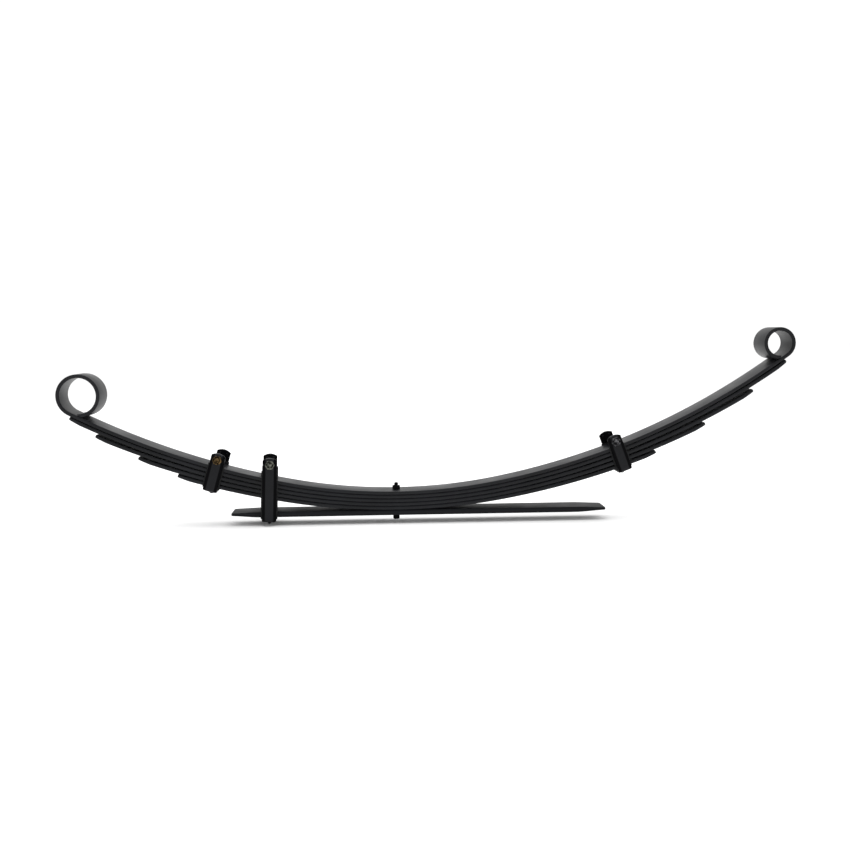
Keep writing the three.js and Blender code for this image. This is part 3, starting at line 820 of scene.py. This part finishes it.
@dataclass
class Leaf:
    """One cambered leaf of the pack, made as a front and a rear half.

    Each half is forged flat, drilled, then cambered by the rule.
    """

    name: str
    number: int
    front: float
    rear: float
    camber: Camber
    width: float
    edge: float = 1.2
    bulge: float = 1.1
    tip_thickness: float = 5.0
    tip_taper: float = 24.0
    tip_corner: float = 7.0
    station_pitch: float = 9.0
    rivet_arcs: tuple[float, ...] = ()
    rivet_play: float = 1.8
    sink_depth: float = 5.0
    drill_overrun: float = 20.0
    blend_from: dict[Side, float] = field(
        default_factory=lambda: {Side.FRONT: -0.565, Side.REAR: 0.723})

    @property
    def top(self) -> float:
        """The height of the flat blank's upper face over the main middle line."""
        return self.camber.thickness / 2 - self.number * self.camber.pitch

    def faces_at(self, inset: float) -> tuple[float, float, float]:
        """Gives the blank's section at an inset from its tip.

        Args:
            inset: The distance from the tip.

        Returns:
            Half the width, and the heights of the lower and the upper face.
        """
        thickness = self.camber.thickness
        end = rounding(inset, 0.8)
        taper = min(inset / self.tip_taper, 1.0)
        here = self.tip_thickness + (thickness - self.tip_thickness) * taper
        half = self.width / 2 - rounding(inset, self.tip_corner) - end
        return half, self.top - here + end, self.top - end

    def tip_stations(self) -> list[float]:
        """Returns the insets from the tip where the blank needs a section."""
        close = [0.0, 0.12, 0.4, 0.8, 1.5, 2.5, 4.0, 5.5, self.tip_corner]
        return close + spread(self.tip_corner, self.tip_taper, 6.0)[1:]

    def rings(self, side: Side) -> list[list[Point]]:
        """Lays out one half of the flat blank.

        Args:
            side: The half.

        Returns:
            Its sections from the tip to the centre bolt.
        """
        length = self.rear if side is Side.REAR else self.front
        insets = self.tip_stations()
        insets += spread(insets[-1], length, self.station_pitch)[1:]
        rings = []
        for inset in insets:
            half, bottom, top = self.faces_at(inset)
            along = side.value * (length - inset)
            drop = self.camber.spread_at(self.number, along)
            rings.append([(along, a, z - drop) for a, z in
                          bar_ring(half, bottom, top, self.edge, self.bulge)])
        return rings

    def cutters(self, side: Side) -> list[bpy.types.Object]:
        """Returns the cutters for the holes of one half of the flat blank."""
        over = self.drill_overrun
        hole, sink = RIVET_DIAMETER / 2, SUNK_HEAD_DIAMETER / 2
        tools = [rod(CENTRE_BOLT_DIAMETER / 2 + HOLE_CLEARANCE, self.top - over,
                     self.top + over)]
        for arc in self.rivet_arcs:
            if arc * side.value > 0:
                face = self.top - self.camber.spread_at(self.number, arc)
                tools.append(rod(hole + self.rivet_play, face - over, face + over, arc))
                tools.append(rod(sink + self.rivet_play, face - self.sink_depth,
                                 face + over, arc))
        return tools

    def build(self) -> None:
        """Makes both halves and leaves them on no body."""
        for side in Side:
            half = loft(f"{self.name}_{side.name.lower()}", self.rings(side))
            drill(half, self.cutters(side))
            form(half, Forming.CAMBER, self.camber.sizes(), LEAF_ENAMEL.material())
            dress(half, LEAF_ENAMEL, (self.name,), None)
            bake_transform(half)


@dataclass
class MainLeaf(Leaf):
    """The main leaf: its ends run on past the camber and are rolled into the eyes.

    The end of each roll is cut to a scarf that lies flat over the leaf's upper face.
    """

    scarf_tip: float = 2.4
    scarf_gap: float = 0.7
    roll_step: float = 5.0

    def rings(self, side: Side) -> list[list[Point]]:
        """Lays out one half of the flat blank, from the roll's end to the centre bolt.

        Args:
            side: The half.

        Returns:
            Its sections.
        """
        rear = side is Side.REAR
        start = self.camber.rear_arc if rear else self.camber.front_arc
        inside = (self.camber.rear_bore if rear else self.camber.front_bore) / 2
        thickness = self.camber.thickness
        middle = inside + thickness / 2
        tip = math.acos(1 - (self.scarf_gap + self.scarf_tip) / inside)
        end = 2 * math.pi - tip
        rings = []
        for angle in reversed(spread(0.0, end, math.radians(self.roll_step))):
            left = (end - angle) * middle
            fall = rounding(left, 0.6)
            outside = inside + thickness
            over_leaf = math.cos(angle)
            if angle > math.pi and over_leaf > 0:
                outside = min(outside, (inside - self.scarf_gap) / over_leaf)
            half = self.width / 2 - fall
            rings.append((start + angle * middle, half, middle - outside + fall * 0.5,
                          thickness / 2 - fall * 0.5))
        body = [(arc, self.width / 2, -thickness / 2, thickness / 2)
                for arc in spread(start, 0.0, self.station_pitch)[1:]]
        return [[(side.value * arc, a, z)
                 for a, z in bar_ring(half, bottom, top, self.edge, self.bulge)]
                for arc, half, bottom, top in rings + body]


@dataclass
class HelperLeaf:
    """The thick flat leaf below the pack, drawn thinner on both faces at its tips."""

    edge: float = 1.6
    bulge: float = 1.3
    tip_drop: float = 2.0
    tip_rise: float = 3.5
    tip_taper: float = 55.0
    tip_corner: float = 6.0
    drill_overrun: float = 10.0
    rivet_hole: tuple[float, float] = (-120.0, -20.0)

    def faces_at(self, inset: float, low: float, high: float,
                 width: float) -> tuple[float, float, float]:
        """Gives the leaf's section at an inset from a tip.

        Args:
            inset: The distance from the tip.
            low: The height of the lower face.
            high: The height of the upper face.
            width: The leaf's width.

        Returns:
            Half the width, and the heights of the lower and the upper face there.
        """
        share = max(1 - inset / self.tip_taper, 0.0)
        thinned = share * share * (3 - 2 * share) * 0.5 + share * 0.5
        end = rounding(inset, 1.0)
        half = width / 2 - rounding(inset, self.tip_corner) - end
        return (half, low + self.tip_rise * thinned + end,
                high - self.tip_drop * thinned - end)

    def build(self, rivet: Matrix) -> None:
        """Makes the leaf.

        Args:
            rivet: The frame of the clip whose rivet goes through it.
        """
        low, high = (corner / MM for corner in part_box("helper_leaf"))
        tip = [0.0, 0.15, 0.5, 1.0, 2.0, 3.2, 4.5, self.tip_corner]
        tip += spread(self.tip_corner, self.tip_taper, 5.0)[1:]
        middle = spread(low.x + self.tip_taper, high.x - self.tip_taper, 25.0)[1:-1]
        places = [(low.x + i, i) for i in tip] + [(x, self.tip_taper) for x in middle]
        places += [(high.x - i, i) for i in reversed(tip)]
        rings = []
        for x, inset in places:
            half, bottom, top = self.faces_at(inset, low.z, high.z, high.y - low.y)
            rings.append([(x, a, z)
                          for a, z in bar_ring(half, bottom, top, self.edge, self.bulge)])
        leaf = loft("helper_leaf_forging", rings)
        hole = rod(CENTRE_BOLT_DIAMETER / 2 + HOLE_CLEARANCE,
                   low.z - self.drill_overrun, high.z + self.drill_overrun)
        rivet_hole = rod(RIVET_DIAMETER / 2 + HOLE_CLEARANCE, *self.rivet_hole)
        rivet_hole.data.transform(rivet)
        drill(leaf, [hole, rivet_hole])
        dress(leaf, HELPER_ENAMEL, ("helper_leaf",), "axle_seat")


# ---- fasteners -------------------------------------------------------------------


@dataclass
class Hexagon:
    """The outside of a nut or a bolt's head: six flats with turned-off corners."""

    flats: float
    bottom: float
    top: float
    washer_share: float = 0.93
    chamfer: float = math.tan(math.radians(30))

    def outside(self, angle: float) -> Profile:
        """Gives the outside's points from the lower to the upper washer face.

        Args:
            angle: The angle about the axis.

        Returns:
            Four (radius, height) points.
        """
        half = self.flats / 2
        corner = self.flats / math.sqrt(3) - 0.25
        sixth = math.pi / 3
        radius = min(half / math.cos((angle % sixth) - sixth / 2), corner)
        washer = half * self.washer_share
        cut = (radius - washer) * self.chamfer
        return [(washer, self.bottom), (radius, self.bottom + cut),
                (radius, self.top - cut), (washer, self.top)]

    def nut(self, name: str, bore: float, sink: float) -> bpy.types.Object:
        """Makes a nut with this outside.

        Args:
            name: Its name.
            bore: The radius of its bore.
            sink: The depth of the countersink at each face.

        Returns:
            The nut.
        """
        return turned(name, lambda angle: [
            (bore, self.bottom + sink), (bore + sink, self.bottom), *self.outside(angle),
            (bore + sink, self.top), (bore, self.top - sink)],
            HEXAGON_FACETS, open_bore=True)


def cut_thread(bolt: bpy.types.Object, shank: float, pitch: float, depth: float,
               start: float, end: float, finish: bpy.types.Material) -> None:
    """Cuts a thread on one stretch of an upright bolt.

    Args:
        bolt: The bolt, with fine rows where the thread goes.
        shank: Its radius there.
        pitch: The thread's pitch.
        depth: The thread's depth.
        start: The height where the thread starts.
        end: The height where it ends.
        finish: The bolt's material.
    """
    form(bolt, Forming.THREAD,
         {"Pitch": pitch * MM, "Depth": depth * MM, "Start": start * MM, "End": end * MM,
          "Core Radius": shank * 0.9 * MM}, finish)


@dataclass
class CentreBolt:
    """The bolt through the whole pack, with its dowel head below and nut on top."""

    diameter: float = CENTRE_BOLT_DIAMETER
    thread_pitch: float = 1.25
    dowel_chamfer: float = 1.2
    stub_dome: float = 2.4
    nut_flats: float = 13.5

    def build(self) -> None:
        """Makes the bolt and its nut."""
        low, high = (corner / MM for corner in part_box("centre_bolt"))
        nut_low, nut_high = (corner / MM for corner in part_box("centre_nut"))
        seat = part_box("helper_leaf")[0].z / MM - CLEARANCE
        dowel, shank = (high.x - low.x) / 2, self.diameter / 2
        rows = spread(nut_low.z, high.z - self.stub_dome, self.thread_pitch / 6)
        profile = [(0.0, low.z), (dowel - self.dowel_chamfer, low.z),
                   (dowel - self.dowel_chamfer * 0.3, low.z + 0.35), (dowel, low.z + 1.1),
                   (dowel, seat - 0.3), (dowel - 0.3, seat), (shank, seat)]
        profile += [(shank, z) for z in rows]
        profile += [(shank * math.cos(a), high.z - self.stub_dome * (1 - math.sin(a)))
                    for a in spread(0.15, QUARTER_TURN, 0.3)]
        bolt = turned("centre_bolt_forging", lambda _: profile)
        cut_thread(bolt, shank, self.thread_pitch, self.thread_pitch * 0.5, nut_low.z,
                   high.z - self.stub_dome, FASTENER_ENAMEL.material())
        dress(bolt, FASTENER_ENAMEL, ("centre_bolt",), "axle_seat")
        nut = Hexagon(self.nut_flats, nut_low.z, nut_high.z).nut(
            "centre_nut_forging", shank + CLEARANCE, 0.6)
        dress(nut, FASTENER_ENAMEL, ("centre_nut",), "axle_seat")


@dataclass
class Strip:
    """A flat strip and the U that it is folded into."""

    inside: float  # half the room between the U's sides
    floor: float  # the height of its upper face under the leaves
    thickness: float
    bend: float  # the outer radius of its two bends

    @property
    def radius(self) -> float:
        """The radius of the bends' middle line."""
        return self.bend - self.thickness / 2

    @property
    def flat(self) -> float:
        """Half the length that stays flat under the leaves."""
        return self.inside + self.thickness / 2 - self.radius

    def length_to(self, rise: float) -> float:
        """Returns half the strip's length when the U's sides reach a height."""
        return (self.flat + self.radius * QUARTER_TURN + rise
                - (self.floor - self.thickness / 2) - self.radius)

    def insets(self, length: float, close: list[float], bend_run: float, coarse: float,
               fine: float) -> list[float]:
        """Places the sections of half the strip.

        Args:
            length: Half the strip's length.
            close: The insets near its end.
            bend_run: How long the fine sections' stretch is before the flat floor.
            coarse: The pitch of the sections on the sides and the floor.
            fine: The pitch of the sections in the bend.

        Returns:
            The insets from its end to its middle.
        """
        start, stop = length - self.flat - bend_run, length - self.flat + 1.0
        return (close + spread(close[-1], start, coarse)[1:]
                + spread(start, stop, fine)[1:] + spread(stop, length, coarse)[1:])

    def fold(self, piece: bpy.types.Object, place: Matrix, finish: Finish) -> None:
        """Folds the flat strip into its U and puts it in its place.

        Args:
            piece: The flat strip.
            place: The clip's frame.
            finish: Its finish.
        """
        form(piece, Forming.FOLD,
             {"Floor Half": self.flat * MM, "Bend Radius": self.radius * MM,
              "Height": (self.floor - self.thickness / 2) * MM}, finish.material())
        piece.data.transform(place)


@dataclass
class ReboundClip:
    """A U strap round the leaves, with its liner, rivet, bolt, nut and spacer sleeve.

    Heights are measured in the clip's own frame, whose origin lies on the main leaf's
    upper face and whose Z stands square to the leaf that the clip is riveted to.
    """

    name: str
    body: str
    sleeve_body: str
    place: Matrix
    floor: float
    riveted_leaf: float
    bolt_rise: float
    liner_rise: float
    plating: ZincPlate
    leaf_width: float
    slack: float = 0.0
    strap_width: float = 27.5
    strap_thickness: float = 5.5
    strap_bend: float = 8.0
    strap_crown: float = 1.0
    strap_shoulder: float = 6.5
    ear_margin: float = 12.5
    ear_crown: float = 4.5
    liner_width: float = 32.0
    liner_thickness: float = 2.2
    bolt_diameter: float = 10.0
    nut_flats: float = 16.0
    nut_height: float = 8.0
    head_height: float = 6.4
    bolt_stub: float = 2.2
    thread_pitch: float = 1.5
    sleeve_diameter: float = 16.0
    rivet_diameter: float = RIVET_DIAMETER
    rivet_dome: float = 14.0
    rivet_dome_height: float = 7.8

    @property
    def liner_inside(self) -> float:
        """Half the room between the liner's sides."""
        return self.leaf_width / 2 + CLEARANCE + self.slack

    @property
    def strap_inside(self) -> float:
        """Half the room between the strap's sides."""
        return self.liner_inside + self.liner_thickness + CLEARANCE

    @property
    def liner_floor(self) -> float:
        """The height of the liner's upper face under the leaves."""
        return self.floor - CLEARANCE - self.slack / 2

    @property
    def strap_floor(self) -> float:
        """The height of the strap's upper face under the leaves."""
        return self.liner_floor - self.liner_thickness - CLEARANCE

    @property
    def seat(self) -> float:
        """The distance from the middle to the nut's and the head's faces."""
        return self.strap_inside + self.strap_thickness + CLEARANCE

    def build(self) -> None:
        """Makes all six pieces."""
        self.build_strap()
        self.build_liner()
        self.build_rivet()
        self.build_bolt()
        self.build_nut()
        self.build_sleeve()

    def build_strap(self) -> None:
        """Makes the strap: arched ears, crowned outer face, holes for bolt and rivet."""
        strip = Strip(self.strap_inside, self.strap_floor, self.strap_thickness,
                      self.strap_bend)
        length = strip.length_to(self.bolt_rise + self.ear_margin)
        arch = [0.0, 0.08, 0.25, 0.6, 1.1, 1.8, 2.6, 3.5, self.ear_crown]
        half = self.strap_thickness / 2
        rings = []
        for inset in strip.insets(length, arch, 9.0, 7.0, 0.7):
            across = self.strap_width / 2
            across *= math.sqrt(min(max(inset, 0.01) / self.ear_crown, 1.0))
            end = rounding(inset, 0.6)
            rings.append([(a, inset - length, z) for a, z in strap_ring(
                across, -half + end, half - end, self.strap_crown, self.strap_shoulder)])
        strap = loft_mirrored(f"{self.name}_strap_forging", rings)
        hole = self.bolt_diameter / 2 + HOLE_CLEARANCE
        at_bolt = length - self.ear_margin
        drill(strap, [rod(hole, -10.0, 10.0, 0.0, at_bolt),
                      rod(hole, -10.0, 10.0, 0.0, -at_bolt),
                      rod(self.rivet_diameter / 2 + HOLE_CLEARANCE, -10.0, 10.0)])
        # each corner's distance from the middle line, which places the painted shade on the
        # shoulders
        across = strap.data.attributes.new(ACROSS, "FLOAT", "POINT")
        for corner, value in zip(strap.data.vertices, across.data):
            value.value = abs(corner.co.x) / MM
        strip.fold(strap, self.place, STRAP_ENAMEL)
        dress(strap, STRAP_ENAMEL, (f"{self.name}_strap",), self.body)

    def build_liner(self) -> None:
        """Makes the thin strip between the strap and the leaves."""
        strip = Strip(self.liner_inside, self.liner_floor, self.liner_thickness,
                      self.liner_thickness + 1.0)
        length = strip.length_to(self.liner_rise)
        half = self.liner_thickness / 2
        rings = []
        for inset in strip.insets(length, [0.0, 0.1, 0.3, 0.6], 4.5, 8.0, 0.45):
            end = rounding(inset, 0.6)
            rings.append([(a, inset - length, z) for a, z in bar_ring(
                self.liner_width / 2 - end, -half + end, half - end, 0.5, 0.0)])
        liner = loft_mirrored(f"{self.name}_liner_strip", rings)
        drill(liner, [rod(self.rivet_diameter / 2 + HOLE_CLEARANCE, -10.0, 10.0)])
        strip.fold(liner, self.place, LINER_PLASTIC)
        dress(liner, LINER_PLASTIC, (f"{self.name}_liner",), self.body)

    def build_rivet(self) -> None:
        """Makes the rivet: a hammered dome under the strap, a sunk head in the leaf."""
        seat = self.strap_floor - self.strap_thickness - CLEARANCE
        dome, shank = self.rivet_dome / 2, self.rivet_diameter / 2
        sunk = SUNK_HEAD_DIAMETER / 2
        top = self.floor + self.riveted_leaf - CLEARANCE
        angles = spread(0.0, QUARTER_TURN, 0.16)

        def profile(bearing: float) -> Profile:
            """Gives the rivet's profile, with the hammer's shallow flats on its dome."""
            flat = 1 - 0.025 * (1 + math.cos(7 * bearing)) * 0.5
            points = [(dome * math.sin(a) * (flat if 0.3 < a < 1.3 else 1.0),
                       seat - self.rivet_dome_height * math.cos(a)) for a in angles]
            return points + [(shank, seat), (shank, top - 3.0), (sunk, top - CLEARANCE),
                             (sunk, top), (0.0, top)]

        rivet = turned(f"{self.name}_rivet_forging", profile)
        rivet.data.transform(self.place)
        dress(rivet, RIVET_ENAMEL, (f"{self.name}_rivet",), self.body)

    def lay(self, piece: bpy.types.Object) -> None:
        """Lays an upright piece along the clip's bolt, its top to the near side."""
        raised = Matrix.Translation(Vector((0.0, 0.0, self.bolt_rise)) * MM)
        piece.data.transform(self.place @ raised @ Matrix.Rotation(QUARTER_TURN, 4, "X"))

    def build_bolt(self) -> None:
        """Makes the bolt, with its head on the far side and its thread on the near."""
        shank = self.bolt_diameter / 2
        end = self.seat + self.nut_height + self.bolt_stub
        start = end - 6.0
        hexagon = Hexagon(self.nut_flats, -self.seat - self.head_height, -self.seat)
        rows = spread(start, end - 0.9, self.thread_pitch / 6)

        def profile(bearing: float) -> Profile:
            """Gives the bolt's profile from the middle of its head to its end."""
            return [(0.0, hexagon.bottom), *hexagon.outside(bearing),
                    (shank, -self.seat), *[(shank, z) for z in rows],
                    (shank - 0.8, end), (0.0, end)]

        bolt = turned(f"{self.name}_bolt_forging", profile, HEXAGON_FACETS)
        cut_thread(bolt, shank, self.thread_pitch, self.thread_pitch * 0.45, start + 0.1,
                   end - 0.8, self.plating.material())
        self.lay(bolt)
        dress(bolt, self.plating, (f"{self.name}_bolt",), self.body)

    def build_nut(self) -> None:
        """Makes the nut, with a countersunk thread at both faces."""
        hexagon = Hexagon(self.nut_flats, self.seat, self.seat + self.nut_height)
        nut = hexagon.nut(f"{self.name}_nut_forging", self.bolt_diameter / 2 + CLEARANCE, 0.8)
        self.lay(nut)
        dress(nut, self.plating, (f"{self.name}_nut",), self.body)

    def build_sleeve(self) -> None:
        """Makes the spacer tube that keeps the ears apart and turns on the bolt."""
        end = self.strap_inside - 0.5
        outer, inner = self.sleeve_diameter / 2, self.bolt_diameter / 2 + HOLE_CLEARANCE
        profile = [(inner, -end + 0.4), (inner + 0.4, -end), (outer - 0.6, -end),
                   (outer, -end + 0.6), *[(outer, z) for z in spread(-end + 6, end - 6, 10)],
                   (outer, end - 0.6), (outer - 0.6, end), (inner + 0.4, end),
                   (inner, end - 0.4)]
        sleeve = turned(f"{self.name}_sleeve_tube", lambda _: profile, open_bore=True)
        self.lay(sleeve)
        dress(sleeve, SLEEVE_STEEL, (f"{self.name}_sleeve",),
              self.sleeve_body)


# ---- the whole spring ------------------------------------------------------------


@dataclass
class LeafSpring:
    """The whole spring: leaves, helper leaf, centre bolt and clips."""

    leaf_thickness: float = 7.0
    leaf_pitch: float = 7.3
    lower_leaves: tuple[tuple[str, float, float], ...] = (
        ("second_leaf", 646.0, 818.0), ("third_leaf", 588.0, 733.0),
        ("fourth_leaf", 499.0, 621.0), ("fifth_leaf", 419.0, 512.0))
    front_clip_arc: float = -353.0
    rear_clip_arc: float = 443.0
    helper_clip_lean: float = 2.0
    helper_clip_twist: float = 4.5
    helper_clip_x: float = -247.5
    helper_clip_bolt_rise: float = 29.0

    def helper_clip_place(self, camber: Camber) -> tuple[Matrix, float]:
        """Finds the long clip's frame.

        Args:
            camber: The pack's curve.

        Returns:
            The frame, and the height of its origin.
        """
        low, high = -camber.front_arc, 0.0
        for _ in range(40):
            middle = (low + high) / 2
            if (camber.clip_place(middle).translation.x / MM) < self.helper_clip_x:
                low = middle
            else:
                high = middle
        height = camber.clip_place(low).translation.z / MM
        origin = Vector((self.helper_clip_x, 0.0, height)) * MM
        place = (Matrix.Translation(origin)
                 @ Matrix.Rotation(math.radians(self.helper_clip_lean), 4, "Y")
                 @ Matrix.Rotation(math.radians(self.helper_clip_twist), 4, "Z"))
        return place, height

    def pack_floor(self, camber: Camber, arc: float) -> float:
        """Finds the underside of the lowest leaf inside a clip.

        Args:
            camber: The pack's curve.
            arc: The clip's arc length from the centre bolt.

        Returns:
            Its height in the clip's frame.
        """
        count = len(self.lower_leaves)
        tight = self.leaf_pitch * count + self.leaf_thickness
        return -tight - camber.spread_at(count, abs(arc) + ReboundClip.liner_width / 2)

    def build(self) -> None:
        """Makes every piece of the spring."""
        pack_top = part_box("centre_nut")[0].z / MM - CLEARANCE
        camber = Camber(pack_top - self.leaf_thickness / 2, self.leaf_thickness,
                        self.leaf_pitch)
        clip_arcs = (self.front_clip_arc, self.rear_clip_arc)
        low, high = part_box("main_leaf")
        width = (high.y - low.y) / MM
        MainLeaf("main_leaf", 0, 0.0, 0.0, camber, width).build()
        for number, (name, front, rear) in enumerate(self.lower_leaves, 1):
            arcs = clip_arcs if number == len(self.lower_leaves) else ()
            Leaf(name, number, front, rear, camber, width, rivet_arcs=arcs).build()
        place, height = self.helper_clip_place(camber)
        HelperLeaf().build(place)
        CentreBolt().build()
        helper_low, helper_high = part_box("helper_leaf")
        clips = (
            ReboundClip("front_clip", "front_clip", "front_sleeve",
                        camber.clip_place(self.front_clip_arc),
                        self.pack_floor(camber, self.front_clip_arc),
                        self.leaf_thickness, 14.5, 5.0, YELLOW_ZINC, width),
            ReboundClip("helper_clip", "axle_seat", "helper_sleeve", place,
                        helper_low.z / MM - height, (helper_high.z - helper_low.z) / MM,
                        self.helper_clip_bolt_rise, 16.5, GREEN_ZINC, width, slack=1.2),
            ReboundClip("rear_clip", "rear_clip", "rear_sleeve",
                        camber.clip_place(self.rear_clip_arc),
                        self.pack_floor(camber, self.rear_clip_arc),
                        self.leaf_thickness, 11.0, 2.0, GREY_ZINC, width),
        )
        for clip in clips:
            clip.build()


# ---- studio ----------------------------------------------------------------------


@dataclass
class Studio:
    """A pale floor, soft lights and the camera."""

    floor_half: float = 30.0
    floor_tone: str = "fcfcfc"
    sky_strength: float = 1.06
    softbox_place: Point = (0.07, 0.3, 3.0)
    softbox_aim: Point = (0.07, 0.3, 0.0)
    softbox_size: tuple[float, float] = (5.0, 4.0)
    softbox_power: float = 90.0
    location: Point = (-0.04353, -2.076, 0.36827)
    heading: float = 2.806
    pitch: float = -5.04
    roll: float = -0.521
    lens: float = 44.9

    def build_floor(self, height: float) -> None:
        """Lays the floor.

        Args:
            height: Its height in metres.
        """
        s = self.floor_half
        mesh = bpy.data.meshes.new("floor")
        corners = [(-s, -s, height), (s, -s, height), (s, s, height), (-s, s, height)]
        mesh.from_pydata(corners, [], [(0, 1, 2, 3)])
        floor = bpy.data.objects.new("floor", mesh)
        bpy.context.scene.collection.objects.link(floor)
        material = bpy.data.materials.new("matt_painted_studio_floor")
        material.use_nodes = True
        shader = material.node_tree.nodes["Principled BSDF"]
        shader.inputs["Base Color"].default_value = linear(self.floor_tone)
        shader.inputs["Roughness"].default_value = 0.9
        shader.inputs["Specular IOR Level"].default_value = 0.1
        mesh.materials.append(material)

    def build_softbox(self) -> None:
        """Hangs a softbox over the spring."""
        light = bpy.data.lights.new("overhead_softbox", "AREA")
        light.shape, light.size, light.size_y = "RECTANGLE", *self.softbox_size
        light.energy = self.softbox_power
        lamp = bpy.data.objects.new("overhead_softbox", light)
        way = Vector(self.softbox_aim) - Vector(self.softbox_place)
        lamp.matrix_world = (Matrix.Translation(self.softbox_place)
                             @ way.to_track_quat("-Z", "Y").to_matrix().to_4x4())
        bpy.context.scene.collection.objects.link(lamp)

    def build_sky(self) -> None:
        """Sets the white surroundings and true colours."""
        world = bpy.data.worlds.new("white_surroundings")
        world.use_nodes = True
        background = world.node_tree.nodes["Background"]
        background.inputs["Color"].default_value = (1.0, 1.0, 1.0, 1.0)
        background.inputs["Strength"].default_value = self.sky_strength
        bpy.context.scene.world = world
        bpy.context.scene.view_settings.view_transform = "Standard"

    def build_camera(self) -> None:
        """Sets up the camera."""
        lens = bpy.data.cameras.new("camera")
        lens.lens, lens.sensor_width, lens.clip_end = self.lens, 36.0, 200.0
        camera = bpy.data.objects.new("camera", lens)
        camera.matrix_world = (
            Matrix.Translation(self.location)
            @ Matrix.Rotation(math.radians(-self.heading), 4, "Z")
            @ Matrix.Rotation(math.radians(90.0 + self.pitch), 4, "X")
            @ Matrix.Rotation(math.radians(self.roll), 4, "Z"))
        bpy.context.scene.collection.objects.link(camera)
        bpy.context.scene.camera = camera

    def build(self) -> None:
        """Sets up the whole studio."""
        self.build_floor(CAD_BOX[0].z)
        self.build_sky()
        self.build_softbox()
        self.build_camera()


def main() -> None:
    """Builds the spring and its studio."""
    logging.basicConfig(level=logging.INFO, format="%(name)s: %(message)s")
    LeafSpring().build()
    Studio().build()


if __name__ == "__main__":
    main()
